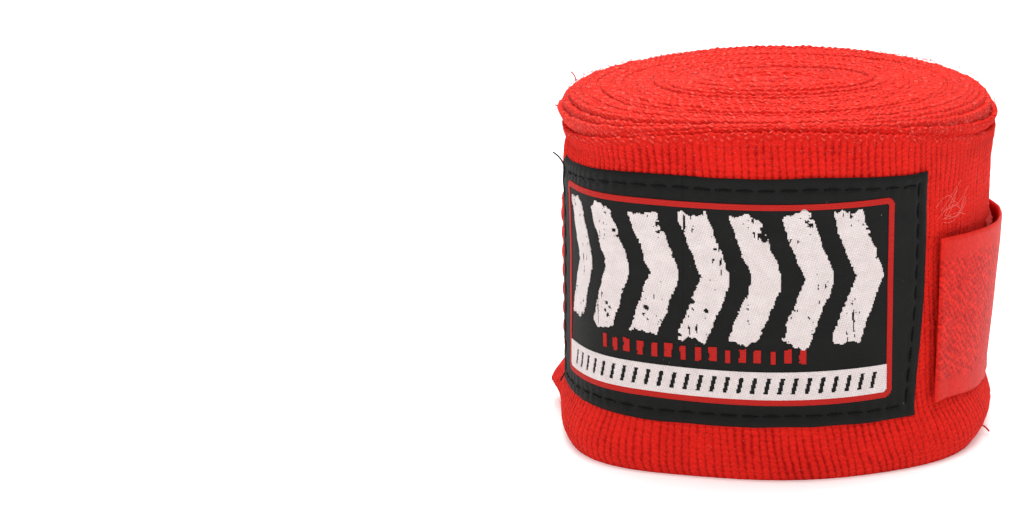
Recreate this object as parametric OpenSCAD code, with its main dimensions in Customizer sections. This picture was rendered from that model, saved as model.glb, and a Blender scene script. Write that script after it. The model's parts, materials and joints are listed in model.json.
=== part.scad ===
// Rolled hand wrap: a long woven tape wound on its thumb loop, a woven label near
// its outer end and a narrow hook strip that goes round behind and closes the roll.
// Z is the axis of the roll, Z = 0 is the face it stands on, and the label looks
// along -Y. Azimuths are degrees from -Y, positive towards +X. The tape is wound
// so that it runs outward while its azimuth falls.

/* [Tape] */
// Width of the tape, which is the height of the roll
tape_width = 50; // [45:1:55]
// Thickness of the tape cloth
tape_thickness = 0.58; // [0.5:0.02:0.58]
// Radial growth of each turn of the spiral
turn_pitch = 0.77; // [0.75:0.01:0.8]
// Number of half turns in the wound spiral
half_turns = 74; // [40:2:74]
// Half depth of the open core across its flat sides
core_radius = 2.9; // [2.9:0.1:3.2]
// Half length of the straight part of the first turn round the core
core_straight = 4.38; // [4.2:0.06:4.38]
// How much shorter that half length gets with each half turn
straight_step = 0.06; // [0.05:0.01:0.06]

/* [Thumb loop] */
// Width of the narrow tape that makes the thumb loop
loop_width = 30; // [20:1:38]
// Outer length of the folded thumb loop
loop_length = 12; // [10:0.5:12.5]
// Outer depth of the folded thumb loop
loop_depth = 4.4; // [3.6:0.2:4.6]

/* [Label] */
// Height of the woven label
label_height = 36.4; // [32:0.4:38]
// Azimuth of the label's leading edge
label_start = 40; // [36:1:41]
// Azimuth of the label's trailing edge
label_end = -75; // [-80:1:-74]
// Height of the label's lower edge above the resting face
label_base = 8.2; // [5:0.2:9]
// Height of the border frame
border_height = 29.4; // [28.4:0.2:30]
// Width of the border line
border_line = 0.8; // [0.5:0.1:1.2]
// Azimuth of the border's leading side
border_start = 30.5; // [28:0.5:32]
// Azimuth of the border's trailing side
border_end = -65.5; // [-67:0.5:-64]
// Number of chevrons in the motif
chevron_count = 7; // [5:1:8]
// Height of the chevrons
chevron_height = 19; // [12:0.5:19]
// Height of the plain bar along the foot of the border
bar_height = 3.9; // [3:0.1:4]

/* [Hook strip] */
// Width of the hook strip
strip_width = 25; // [20:1:25]
// Height of the strip's lower edge above the resting face
strip_base = 9.2; // [7:0.2:12]
// Thickness of the strip's woven backing
strip_thickness = 0.6; // [0.4:0.1:0.7]
// Height of the hooks on the strip's inner face
hook_height = 0.3; // [0.2:0.05:0.35]
// Radial space between the tape's outer face and the strip's backing
strip_standoff = 1.1; // [1.1:0.05:1.5]

/* [Stitches] */
// Length of one stitch
stitch_length = 2; // [1.5:0.1:2.2]
// Width of one stitch
stitch_width = 0.35; // [0.25:0.05:0.5]

/* [Hidden] */
$fn = 144;
eps = 0.01;
seam_gap = 0.06;
layer_gap = 0.04;
cut_margin = 1;
function arc_degrees(length, radius) = length / radius * 180 / PI;

// Spiral: each half turn is an arc centred a quarter pitch off the axis, and the
// straight run between two arcs shortens until the outer turns are round
quarter_pitch = turn_pitch / 4;
function arc_radius(i) = core_radius + tape_thickness + 2 * quarter_pitch * i;
function arc_reach(i) = max(0, core_straight - straight_step * i);
wound_radius = arc_radius(half_turns - 1) + quarter_pitch;

// The last stretch of the wound tape lifts off the spiral and becomes the tail
tail_start = 69;
tail_end = -110;
lift = 0.52;
lift_radius = wound_radius + lift;
tail_outer = wound_radius + lift * (1 + cos(tail_start));
tail_inner = tail_outer - tape_thickness;

// Hinge lines of the tail and the strip
label_split_1 = 10;
label_split_2 = -55;
strip_split_0 = -112;
strip_split_1 = -160;
strip_split_2 = -208;
strip_split_3 = -256;
tip_start = -296;
tip_end = -315;

// Label layers from the tape outward, and the heights of what is woven on it
label_thickness = 0.4;
thread_rise = 0.12;
label_inner = tail_outer + layer_gap;
label_outer = label_inner + label_thickness;
thread_inner = label_outer + layer_gap;
thread_outer = thread_inner + thread_rise;
border_base = label_base + (label_height - border_height) / 2;
border_side = arc_degrees(border_line, thread_inner);
bar_gap = 0.3;
bar_margin = arc_degrees(0.4, thread_inner);
bar_base = border_base + border_line + bar_gap;
dash_gap = 0.7;
dash_base = bar_base + bar_height + dash_gap;
dash_height = 2;
dash_start = 8;
dash_end = -45;
dash_pitch = arc_degrees(2.1, thread_inner);
dash_arc = arc_degrees(0.95, thread_inner);
chevron_gap = 0.9;
chevron_margin = 0.7;
chevron_base = dash_base + dash_height + chevron_gap;
chevron_stroke = 4.3;
chevron_point = 3.6;
chevron_reach = chevron_margin + (chevron_stroke + chevron_point) / 2;
chevron_inset = border_side + arc_degrees(chevron_reach, thread_inner);
chevron_start = border_start - chevron_inset;
chevron_end = border_end + chevron_inset;
chevron_pitch = (chevron_start - chevron_end) / (chevron_count - 1);

// Strip layers, with plain edges beside the hooks
strip_inner = tail_outer + strip_standoff;
strip_outer = strip_inner + strip_thickness;
hook_margin = 3.2;
hook_base = strip_base + hook_margin;
hook_width = strip_width - 2 * hook_margin;
root_start = -89;
root_inner = tail_outer + layer_gap;
root_outer = root_inner + strip_thickness;

// The strip's first link rises from the tape to its full standoff
rise_shift = (strip_inner - root_inner) / (1 - cos(strip_split_0 - strip_split_1));
rise_inner = strip_inner - rise_shift;

// Loop patch on the wound roll
patch_start = 165;
patch_end = 74;
patch_thickness = 0.5;
patch_inner = lift_radius + layer_gap;
patch_outer = patch_inner + patch_thickness;

// Thumb loop, against the inner end of the tape
loop_wall = tape_thickness;
loop_clearance = 0.12;
loop_shift = core_radius - quarter_pitch - loop_depth / 2 - loop_clearance;
loop_base = (tape_width - loop_width) / 2;

// Stitches: their rows stop a few degrees short of an edge, their columns a few millimetres
stitch_pitch = 3;
stitch_inset = 1.2;
stitch_depth = 0.12;
row_margin = 3;
edge_margin = 2;
split_margin = 1;
bartack_rows = 5;
bartack_length = 5;
bartack_inset = 3;

tape_red = "#e62620";
loop_red = "#c81e1c";
strip_red = "#e04038";
hook_red = "#d8564e";
label_black = "#262826";
border_red = "#c32823";
thread_white = "#ded6d4";
thread_black = "#1a1a1a";
thread_red = "#b01a18";

// Azimuth seen from a centre shifted off the axis, for a point at a true azimuth
function local_azimuth(azimuth, shift, shift_azimuth, radius) =
    azimuth + asin(shift * sin(azimuth - shift_azimuth) / radius);

// Curved sheet between two radii and two azimuths, standing at a height
module sheet(from_azimuth, to_azimuth, inner, outer, base, height) {
    translate([0, 0, base])
        rotate([0, 0, to_azimuth - 90])
            rotate_extrude(angle = from_azimuth - to_azimuth)
                translate([inner, 0])
                    square([outer - inner, height]);
}

// Curved sheet about a centre shifted off the axis towards one azimuth
module shifted_sheet(from_azimuth, to_azimuth, inner, outer, base, height, shift, shift_azimuth) {
    from_local = local_azimuth(from_azimuth, shift, shift_azimuth, outer);
    to_local = local_azimuth(to_azimuth, shift, shift_azimuth, outer);
    translate([shift * sin(shift_azimuth), -shift * cos(shift_azimuth), 0])
        sheet(from_local, to_local, inner, outer, base, height);
}

// Row of stitches along an arc at one height
module stitch_row(from_azimuth, to_azimuth, inner, centre_height) {
    step = arc_degrees(stitch_pitch, inner);
    half_arc = arc_degrees(stitch_length, inner) / 2;
    count = floor((from_azimuth - to_azimuth - 2 * half_arc) / step);
    middle = (from_azimuth + to_azimuth) / 2;
    for (i = [0 : count]) {
        azimuth = middle + (i - count / 2) * step;
        sheet(azimuth + half_arc, azimuth - half_arc, inner, inner + stitch_depth,
              centre_height - stitch_width / 2, stitch_width);
    }
}

// Column of stitches up one azimuth
module stitch_column(azimuth, inner, base, height) {
    half_arc = arc_degrees(stitch_width, inner) / 2;
    count = floor((height - stitch_length) / stitch_pitch);
    start = base + (height - count * stitch_pitch - stitch_length) / 2;
    for (i = [0 : count])
        sheet(azimuth + half_arc, azimuth - half_arc, inner, inner + stitch_depth,
              start + i * stitch_pitch, stitch_length);
}

// One half turn of the spiral and the straight run to the next
module half_turn(i) {
    radius = arc_radius(i);
    next_reach = arc_reach(i + 1);
    run = arc_reach(i) + next_reach;
    rotate([0, 0, i % 2 == 0 ? 0 : 180]) {
        translate([arc_reach(i), -quarter_pitch, 0])
            rotate([0, 0, -90])
                rotate_extrude(angle = 180)
                    translate([radius - tape_thickness, 0])
                        square([tape_thickness, tape_width]);
        if (run > eps)
            translate([-next_reach, -quarter_pitch - radius, 0])
                cube([run, tape_thickness, tape_width]);
    }
}

// The half ring that lifts off the spiral, cut off where the tail starts
module lifted_stretch() {
    cut_azimuth = tail_start + arc_degrees(seam_gap, tail_outer);
    reach = lift_radius + cut_margin;
    difference() {
        translate([0, -lift, 0])
            rotate([0, 0, -90])
                rotate_extrude(angle = 180)
                    translate([lift_radius - tape_thickness, 0])
                        square([tape_thickness, tape_width]);
        rotate([0, 0, cut_azimuth])
            translate([-reach, -reach, -cut_margin])
                cube([reach, reach, tape_width + 2 * cut_margin]);
    }
}

module tape_roll() {
    color(tape_red) {
        for (i = [0 : half_turns - 1])
            half_turn(i);
        lifted_stretch();
    }
}

module stadium(length, depth, height) {
    reach = (length - depth) / 2;
    linear_extrude(height)
        union() {
            translate([-reach, -depth / 2])
                square([2 * reach, depth]);
            for (side = [-1, 1])
                translate([side * reach, 0])
                    circle(d = depth);
        }
}

module thumb_loop() {
    color(loop_red)
        translate([0, loop_shift, loop_base])
            difference() {
                stadium(loop_length, loop_depth, loop_width);
                translate([0, 0, -cut_margin])
                    stadium(loop_length - 2 * loop_wall, loop_depth - 2 * loop_wall,
                            loop_width + 2 * cut_margin);
            }
}

module thumb_loop_stitching() {
    face = loop_shift + loop_depth / 2 - loop_wall - layer_gap - stitch_depth;
    row_pitch = (loop_width - 2 * bartack_inset) / (bartack_rows - 1);
    first_row = loop_base + bartack_inset - stitch_width / 2;
    color(thread_red)
        for (row = [0 : bartack_rows - 1])
            translate([-bartack_length / 2, face, first_row + row * row_pitch])
                cube([bartack_length, stitch_depth, stitch_width]);
}

module loop_patch() {
    color(loop_red)
        shifted_sheet(patch_start, patch_end, patch_inner, patch_outer, strip_base, strip_width, lift, 0);
}

module loop_patch_stitching() {
    color(thread_red)
        translate([0, -lift, 0])
            for (height = [strip_base + stitch_inset, strip_base + strip_width - stitch_inset])
                stitch_row(patch_start - edge_margin, patch_end + row_margin,
                           patch_outer + layer_gap, height);
}

// Link of the free tail; the seam gap is left at its outer end
module tape_tail(from_azimuth, to_azimuth) {
    color(tape_red)
        sheet(from_azimuth, to_azimuth + arc_degrees(seam_gap, tail_outer),
              tail_inner, tail_outer, 0, tape_width);
}

module label_cloth(from_azimuth, to_azimuth) {
    color(label_black)
        sheet(from_azimuth, to_azimuth + arc_degrees(seam_gap, tail_outer),
              label_inner, label_outer, label_base, label_height);
}

// Sheet in the raised thread layer, clipped to one link of the label
module thread_sheet(from_azimuth, to_azimuth, base, height) {
    sheet(from_azimuth, to_azimuth + arc_degrees(seam_gap, tail_outer),
          thread_inner, thread_outer, base, height);
}

module border_lines(from_azimuth, to_azimuth) {
    for (height = [border_base, border_base + border_height - border_line])
        thread_sheet(from_azimuth, to_azimuth, height, border_line);
}

module dash_row() {
    count = floor((dash_start - dash_end - dash_arc) / dash_pitch);
    for (i = [0 : count]) {
        azimuth = dash_start - i * dash_pitch;
        thread_sheet(azimuth, azimuth - dash_arc, dash_base, dash_height);
    }
}

// End of the border frame: a sheet with its inside cut away, open where the links meet
module border_end_frame(from_azimuth, to_azimuth, open_from, open_to) {
    color(border_red)
        difference() {
            thread_sheet(from_azimuth, to_azimuth, border_base, border_height);
            sheet(open_from, open_to, thread_inner - cut_margin, thread_outer + cut_margin,
                  border_base + border_line, border_height - 2 * border_line);
        }
}

module label_red_threads_2() {
    color(border_red) {
        border_lines(label_split_1, label_split_2);
        dash_row();
    }
}

// Prism that cuts one chevron out of the thread layer; it points with the winding
module chevron_prism(azimuth) {
    half_height = chevron_height / 2;
    rotate([0, 0, azimuth])
        translate([0, 0, chevron_base + half_height])
            rotate([90, 0, 0])
                linear_extrude(thread_outer + cut_margin)
                    translate([-(chevron_stroke + chevron_point) / 2, 0])
                        polygon([[0, -half_height], [chevron_stroke, -half_height],
                                 [chevron_stroke + chevron_point, 0], [chevron_stroke, half_height],
                                 [0, half_height], [chevron_point, 0]]);
}

module label_white_threads(from_azimuth, to_azimuth) {
    color(thread_white) {
        intersection() {
            thread_sheet(from_azimuth, to_azimuth, chevron_base, chevron_height);
            for (i = [0 : chevron_count - 1])
                chevron_prism(chevron_start - i * chevron_pitch);
        }
        thread_sheet(min(from_azimuth, border_start - border_side - bar_margin),
                     max(to_azimuth, border_end + border_side + bar_margin), bar_base, bar_height);
    }
}

module label_stitching(from_azimuth, to_azimuth) {
    color(thread_black)
        for (height = [label_base + stitch_inset, label_base + label_height - stitch_inset])
            stitch_row(from_azimuth, to_azimuth, thread_inner, height);
}

module label_stitching_1() {
    side = label_start - arc_degrees(stitch_inset, thread_inner);
    label_stitching(side - row_margin, label_split_1 + split_margin);
    color(thread_black)
        stitch_column(side, thread_inner, label_base + edge_margin, label_height - 2 * edge_margin);
}

module label_stitching_3() {
    side = label_end + arc_degrees(stitch_inset, thread_inner);
    label_stitching(label_split_2 - split_margin, side + row_margin);
    color(thread_black)
        stitch_column(side, thread_inner, label_base + edge_margin, label_height - 2 * edge_margin);
}

module hook_strip_root() {
    color(strip_red)
        sheet(root_start, strip_split_0 + arc_degrees(seam_gap, tail_outer),
              root_inner, root_outer, strip_base, strip_width);
}

module strip_stitching() {
    face = root_outer + layer_gap;
    color(thread_red) {
        for (height = [strip_base + stitch_inset, strip_base + strip_width - stitch_inset])
            stitch_row(root_start - row_margin, tail_end + row_margin, face, height);
        for (azimuth = [root_start - edge_margin, tail_end + edge_margin])
            stitch_column(azimuth, face, strip_base + edge_margin, strip_width - 2 * edge_margin);
    }
}

// First link of the strip: it rises from the tape to the strip's standoff
module hook_strip_1() {
    color(strip_red)
        shifted_sheet(strip_split_0, strip_split_1 + arc_degrees(seam_gap, strip_outer),
                      rise_inner, rise_inner + strip_thickness, strip_base, strip_width,
                      rise_shift, strip_split_1);
}

module hooks_1() {
    color(hook_red)
        shifted_sheet(strip_split_0 - edge_margin, strip_split_1 + arc_degrees(seam_gap, strip_outer),
                      rise_inner - layer_gap - hook_height, rise_inner - layer_gap, hook_base, hook_width,
                      rise_shift, strip_split_1);
}

module strip_link(from_azimuth, to_azimuth) {
    color(strip_red)
        sheet(from_azimuth, to_azimuth + arc_degrees(seam_gap, strip_outer),
              strip_inner, strip_outer, strip_base, strip_width);
}

module hooks(from_azimuth, to_azimuth) {
    color(hook_red)
        sheet(from_azimuth, to_azimuth + arc_degrees(seam_gap, strip_outer),
              strip_inner - layer_gap - hook_height, strip_inner - layer_gap, hook_base, hook_width);
}

tape_roll();
thumb_loop();
thumb_loop_stitching();
loop_patch();
loop_patch_stitching();
tape_tail(tail_start, label_split_1);  // tape_tail_1
tape_tail(label_split_1, label_split_2);  // tape_tail_2
tape_tail(label_split_2, tail_end);  // tape_tail_3
label_cloth(label_start, label_split_1);  // label_cloth_1
label_cloth(label_split_1, label_split_2);  // label_cloth_2
label_cloth(label_split_2, label_end);  // label_cloth_3
border_end_frame(border_start, label_split_1, border_start - border_side, label_split_1 - split_margin);  // label_red_threads_1
label_red_threads_2();
border_end_frame(label_split_2, border_end, label_split_2 + split_margin, border_end + border_side);  // label_red_threads_3
label_white_threads(border_start, label_split_1);  // label_white_threads_1
label_white_threads(label_split_1, label_split_2);  // label_white_threads_2
label_white_threads(label_split_2, border_end);  // label_white_threads_3
label_stitching_1();
label_stitching(label_split_1 - split_margin, label_split_2 + split_margin);  // label_stitching_2
label_stitching_3();
hook_strip_root();
strip_stitching();
hook_strip_1();
strip_link(strip_split_1, strip_split_2);  // hook_strip_2
strip_link(strip_split_2, strip_split_3);  // hook_strip_3
strip_link(strip_split_3, tip_start);  // hook_strip_4
strip_link(tip_start, tip_end);  // hook_strip_tip
hooks_1();
hooks(strip_split_1, strip_split_2);  // hooks_2
hooks(strip_split_2, strip_split_3);  // hooks_3
hooks(strip_split_3, tip_start);  // hooks_4
hooks(tip_start, tip_end + edge_margin);  // hooks_tip
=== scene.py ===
import json
import math

import bpy
import numpy as np
from mathutils import Matrix, Vector


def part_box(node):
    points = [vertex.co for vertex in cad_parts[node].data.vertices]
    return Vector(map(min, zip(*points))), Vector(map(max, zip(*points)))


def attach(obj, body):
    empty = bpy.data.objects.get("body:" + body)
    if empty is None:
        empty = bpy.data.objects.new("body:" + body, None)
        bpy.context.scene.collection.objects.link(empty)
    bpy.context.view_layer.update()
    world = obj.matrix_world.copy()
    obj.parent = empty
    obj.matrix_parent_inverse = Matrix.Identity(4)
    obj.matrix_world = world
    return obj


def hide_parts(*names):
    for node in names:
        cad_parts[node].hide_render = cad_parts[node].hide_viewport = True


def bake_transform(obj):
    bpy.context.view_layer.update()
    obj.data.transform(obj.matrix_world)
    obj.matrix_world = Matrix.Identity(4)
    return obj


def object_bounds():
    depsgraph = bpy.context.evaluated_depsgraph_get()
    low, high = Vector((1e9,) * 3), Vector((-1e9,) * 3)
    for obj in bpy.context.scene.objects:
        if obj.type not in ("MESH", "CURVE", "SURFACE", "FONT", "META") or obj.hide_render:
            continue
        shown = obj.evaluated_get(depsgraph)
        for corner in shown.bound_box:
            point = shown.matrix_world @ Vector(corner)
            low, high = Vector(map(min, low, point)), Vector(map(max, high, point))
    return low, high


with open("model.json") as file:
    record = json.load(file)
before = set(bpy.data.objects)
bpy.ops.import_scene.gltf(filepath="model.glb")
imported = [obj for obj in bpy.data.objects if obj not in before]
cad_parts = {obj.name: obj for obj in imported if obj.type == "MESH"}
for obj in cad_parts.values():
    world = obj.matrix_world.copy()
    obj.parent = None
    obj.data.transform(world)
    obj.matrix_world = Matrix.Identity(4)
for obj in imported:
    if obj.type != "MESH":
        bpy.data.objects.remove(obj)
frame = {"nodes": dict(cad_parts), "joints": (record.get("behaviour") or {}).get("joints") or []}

# A rolled hand wrap. Lengths are millimetres in the builders and become metres in make_object.
# An azimuth is degrees from -Y, positive towards +X. A winding angle is an azimuth that keeps
# counting inward turn after turn, so the tape runs outward while its winding angle falls.

MM = 0.001
cad_low, cad_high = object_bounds()
rng = np.random.default_rng(7)


# ---------------------------------------------------------------- sizes read from the frame

def node_box(name):
    low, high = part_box(name)
    return np.array(low) / MM, np.array(high) / MM


def node_heights(name):
    low, high = node_box(name)
    return low[2], high[2]


def node_points(name):
    return np.array([v.co for v in frame["nodes"][name].data.vertices]) / MM


def node_azimuths(name):
    """Highest and lowest azimuth that a node's vertices reach, counted round from their middle."""
    x, y, _ = node_points(name).T
    middle = math.degrees(math.atan2(x.mean(), -y.mean()))
    azimuths = (np.degrees(np.arctan2(x, -y)) - middle + 180) % 360 - 180 + middle
    return azimuths.max(), azimuths.min()


def outer_radius(name):
    return np.hypot(*node_points(name).T[:2]).max()


def hinge_winding(index):
    """Winding angle of a joint's hinge line. The chain runs outward from the first joint."""
    x, y, _ = frame["joints"][index]["pos_m"]
    angle = math.degrees(math.atan2(x, -y))
    previous = 90 if index == 0 else hinge_winding(index - 1)
    while angle > previous:
        angle -= 360
    return angle


HINGES = [hinge_winding(i) for i in range(len(frame["joints"]))]

TAPE_LOW, TAPE_HIGH = node_heights("tape_roll")
TAPE_WIDTH = TAPE_HIGH - TAPE_LOW
TAIL_RADIUS = outer_radius("tape_tail_2")
TAIL_END = node_azimuths("tape_tail_3")[1]

LABEL_START = node_azimuths("label_cloth_1")[0]
LABEL_END = node_azimuths("label_cloth_3")[1]
LABEL_LOW, LABEL_HIGH = node_heights("label_cloth_2")
FRAME_START = node_azimuths("label_red_threads_1")[0]
FRAME_END = node_azimuths("label_red_threads_3")[1]
FRAME_LOW, FRAME_HIGH = node_heights("label_red_threads_1")

STRIP_RADIUS = outer_radius("hook_strip_2")
STRIP_LOW, STRIP_HIGH = node_heights("hook_strip_2")
ROOT_START = node_azimuths("hook_strip_root")[0]
TIP_END = node_azimuths("hook_strip_tip")[1] - 360
PATCH_START, PATCH_END = node_azimuths("loop_patch")
PATCH_LOW, PATCH_HIGH = node_heights("loop_patch")

# Cloth: cords across the tape, worn shallow beyond an arc length from its outer end
CORD_PITCH = 1.07
CORD_DEPTH = 0.24
CORD_LEAN = 0.035
WORN_FROM = 80.0
WORN_OVER = 14.0
TAPE_THICK = 0.74
CORD_RISE = rng.uniform(0, 1, 1024)
BEAD_SIZE = 0.16
EDGE_SCALLOP = 0.14
EDGE_UNEVEN = 0.30

# Winding: turns from a pinched core out to the free end
TURNS = 37
TURN_PITCH = 0.77
LIFT_OFF = 0.46
CORE_RADIUS = 3.5
CORE_REACH = 4.4
CORE_PINCH = 0.8
CORE_PUFF = 0.9
RIM_GAP = 0.42
HALF_WAY_GAP = 0.30

# Shape from handling: how far each part of the roll leaves a plain cylinder
WAIST = 0.45
STRIP_PINCH = 0.5
TUCK = 0.8
FOLD = 2.2
FOLD_HEIGHT = 3.6
LEFT_FRONT = 2.2
RIGHT_FRONT = 1.0
FOOT_LEFT = 2.2
FOOT_RIGHT = 0.9
RIM_DROP = 4.3
FRONT_RISE = 0.9
SECOND_TURN_LIFT = 1.0
THIRD_TURN_LIFT = 0.5
DOME = 1.2
LIP = 2.0


# ---------------------------------------------------------------- small maths

def smoothstep(x):
    x = np.clip(x, 0.0, 1.0)
    return x * x * (3 - 2 * x)


def ease(x, start, end):
    """Smooth step that is 0 at start and 1 at end, whichever of them is larger."""
    return smoothstep((x - start) / (end - start))


def hill(x, middle, spread):
    """Rounded hill, 1 at its middle."""
    return np.exp(-((x - middle) / spread) ** 2)


def turns_inward(winding):
    return np.maximum(0.0, winding - HINGES[0]) / 360


def frontness(winding):
    """1 at the front of the roll, 0 at its back."""
    return 0.5 + 0.5 * np.cos(np.radians(winding))


def sideness(winding):
    """1 at the two sides of the roll, 0 at its front and back."""
    return np.sin(np.radians(winding)) ** 2


def arc_mm(angle):
    return np.radians(angle) * TAIL_RADIUS


def arc_degrees(length):
    return np.degrees(length / TAIL_RADIUS)


def wave_noise(x, y, seed, octaves=4):
    """Smooth seeded noise in about -1..1, made of sine waves, for one or two coordinates."""
    source = np.random.default_rng(seed)
    total = np.zeros(np.broadcast(x, y).shape)
    weight = 0.0
    for octave in range(octaves):
        scale = 1.8 ** octave
        for _ in range(3):
            kx, ky, phase = source.normal(0, 1), source.normal(0, 1), source.uniform(0, 2 * math.pi)
            total = total + np.sin(scale * (kx * x + ky * y) + phase) / scale
            weight += 0.5 / scale
    return total / weight


def cord_height(s):
    """Rounded cords with narrow grooves, 0 in the groove and 1 on the crest, along arc length s."""
    phase = (s / CORD_PITCH) % 1.0
    return np.sin(math.pi * phase) ** 0.75


# ---------------------------------------------------------------- mesh building

def make_object(name, vertices, faces, uv, material, smooth=True):
    """Mesh object from millimetre vertices, a list of face arrays and one UV per vertex."""
    mesh = bpy.data.meshes.new(name)
    face_list = [list(map(int, face)) for block in faces for face in block]
    mesh.from_pydata((np.asarray(vertices) * MM).tolist(), [], face_list)
    layer = mesh.uv_layers.new(name="cloth")
    loops = np.zeros(len(mesh.loops), np.int32)
    mesh.loops.foreach_get("vertex_index", loops)
    layer.data.foreach_set("uv", np.asarray(uv, np.float32)[loops].ravel())
    mesh.polygons.foreach_set("use_smooth", np.full(len(mesh.polygons), smooth))
    mesh.update()
    mesh.materials.append(material)
    obj = bpy.data.objects.new(name, mesh)
    bpy.context.scene.collection.objects.link(obj)
    return obj


def grid(first, second):
    return np.meshgrid(first, second, indexing="ij")


def loft_faces(stations, ring, closed=False):
    """Quads round a ring of points at each station. Caps close the two ends, unless the stations
    close into a loop."""
    i, j = grid(np.arange(stations if closed else stations - 1), np.arange(ring))
    i2, j2 = (i + 1) % stations, (j + 1) % ring
    quads = np.stack([i * ring + j, i * ring + j2, i2 * ring + j2, i2 * ring + j], -1).reshape(-1, 4)
    if closed:
        return [quads]
    first = np.arange(ring)[::-1].reshape(1, -1)
    last = (np.arange(ring) + (stations - 1) * ring).reshape(1, -1)
    return [quads, first, last]


def grid_cells(shape):
    """The four vertex numbers round every cell of a grid."""
    index = np.arange(np.prod(shape)).reshape(shape)
    return np.stack([index[:-1, :-1], index[1:, :-1], index[1:, 1:], index[:-1, 1:]], -1)


def band_profile(face_heights, back_heights, cap_points):
    """Closed loop round a flat band: side (+1 outer, -1 inner), height 0..1, and how far it is into a
    rounded edge. The outer face runs up, the top edge rolls over and the inner face runs down."""
    up, down = np.asarray(face_heights), np.asarray(back_heights)[::-1]
    roll = np.linspace(0, math.pi, cap_points + 2)[1:-1]
    side = np.concatenate([np.ones(len(up)), np.cos(roll), -np.ones(len(down)), -np.cos(roll)])
    height = np.concatenate([up, np.ones(cap_points), down, np.zeros(cap_points)])
    bulge = np.concatenate([np.zeros(len(up)), np.sin(roll), np.zeros(len(down)), -np.sin(roll)])
    return side, height, bulge


def wrap_points(winding, radius, z):
    angle = np.radians(winding)
    return np.stack([radius * np.sin(angle), -radius * np.cos(angle), z * np.ones_like(radius * angle)], -1)


def cloth_uv(winding, z):
    return np.stack([arc_mm(winding), z], -1)


def facing_out(vertices, quads):
    """Turns a closed mesh's quads round if their normals look inward."""
    corners = vertices[quads]
    normal = np.cross(corners[:, 2] - corners[:, 0], corners[:, 3] - corners[:, 1])
    volume = np.sum(corners.mean(1) * normal)
    return quads if volume > 0 else quads[:, ::-1]


def closed_sheet(name, winding, z, outer, inner, uv, material):
    """Closed curved sheet, from grids of winding angle, height and the radii of its two faces."""
    front = wrap_points(winding, outer, z).reshape(-1, 3)
    back = wrap_points(winding, inner, z).reshape(-1, 3)
    vertices = np.concatenate([front, back])
    face = grid_cells(winding.shape).reshape(-1, 4)
    index = np.arange(winding.size).reshape(winding.shape)
    rim = np.concatenate([index[:-1, 0], index[-1, :-1], index[:0:-1, -1], index[0, :0:-1]])
    after = np.roll(rim, -1)
    wall = np.stack([after, rim, rim + winding.size, after + winding.size], -1)
    quads = np.concatenate([face, face[:, ::-1] + winding.size, wall])
    both_faces = np.tile(uv.reshape(-1, 2), (2, 1))
    return make_object(name, vertices, [facing_out(vertices, quads)], both_faces, material)


def tubes(name, paths, radius, sides, material):
    """Closed round tubes along paths that all have the same number of points."""
    paths = np.asarray(paths, float)
    count, points = paths.shape[:2]
    along = np.gradient(paths, axis=1)
    along /= np.linalg.norm(along, axis=-1, keepdims=True) + 1e-9
    across = np.cross(along, np.array([0.31, 0.42, 0.85]))
    across /= np.linalg.norm(across, axis=-1, keepdims=True) + 1e-9
    third = np.cross(along, across)
    turn = np.arange(sides) * 2 * math.pi / sides
    radius = np.broadcast_to(radius, (count, points))[:, :, None, None]
    ring = np.cos(turn)[:, None] * across[:, :, None] + np.sin(turn)[:, None] * third[:, :, None]
    vertices = (paths[:, :, None] + radius * ring).reshape(-1, 3)
    shift = (np.arange(count) * points * sides)[:, None, None]
    blocks = [(block[None] + shift).reshape(-1, block.shape[-1]) for block in loft_faces(points, sides)]
    length = np.cumsum(np.linalg.norm(np.diff(paths, axis=1, prepend=paths[:, :1]), axis=-1), 1)
    around = np.broadcast_to(turn, (count, points, sides))
    uv = np.stack([np.repeat(length[:, :, None], sides, 2), around], -1)
    return make_object(name, vertices, blocks, uv.reshape(-1, 2), material)


# ---------------------------------------------------------------- the path of the tape

def path_radius(winding):
    """Outer radius of the tape at a winding angle, on the free end and in the wound turns."""
    inward = np.maximum(0.0, winding - HINGES[0])
    return TAIL_RADIUS - TURN_PITCH * inward / 360 - LIFT_OFF * ease(inward, 0, 111)


def skin(winding, z):
    """How far the outer turns stand off a plain cylinder. The roll is squeezed at its waist and under the
    strip, folded beside the label, tucked in at its edges and fuller at its front left and right."""
    azimuth = (winding + 180) % 360 - 180
    left = np.clip(-np.sin(np.radians(azimuth)), 0, 1) ** 2
    upper = np.maximum(ease(z, TAPE_HIGH - 3, TAPE_HIGH - 12), left)
    waist = -WAIST * ease(z, 2, 10) * upper
    waist = waist + 0.14 * wave_noise(np.radians(azimuth) * 1.5, z * 0.08, 41)
    pinch = -STRIP_PINCH * ease(z, 3, 8) * ease(z, 25, 15)
    bulge = 0.35 * ease(z, 8, 3) * ease(z, -2, 2) - 1.1 * ease(z, 4, 0)
    squeezed = waist + hill(azimuth, 88, 30) * (pinch + bulge)
    from_fold = np.maximum(z - FOLD_HEIGHT, 0) / 2.6 + np.maximum(FOLD_HEIGHT - z, 0) / 1.1
    fold = FOLD * hill(winding, LABEL_END - 18, 9) * hill(from_fold, 0, 1)
    tuck = -TUCK * (ease(z, 1.5, 0) + left * hill(z, 45.5, 3))
    fuller = LEFT_FRONT * hill(azimuth, -43, 20) + RIGHT_FRONT * hill(azimuth, 52, 20) * ease(z, 10, 5)
    foot = FOOT_LEFT * hill(azimuth, -53, 21) + FOOT_RIGHT * hill(azimuth, 54, 20)
    fuller = (fuller + foot * ease(z, 9, 3)) * np.exp(-turns_inward(winding) / 14)
    return squeezed * np.exp(-turns_inward(winding) / 5) + fold + tuck + fuller


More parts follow.
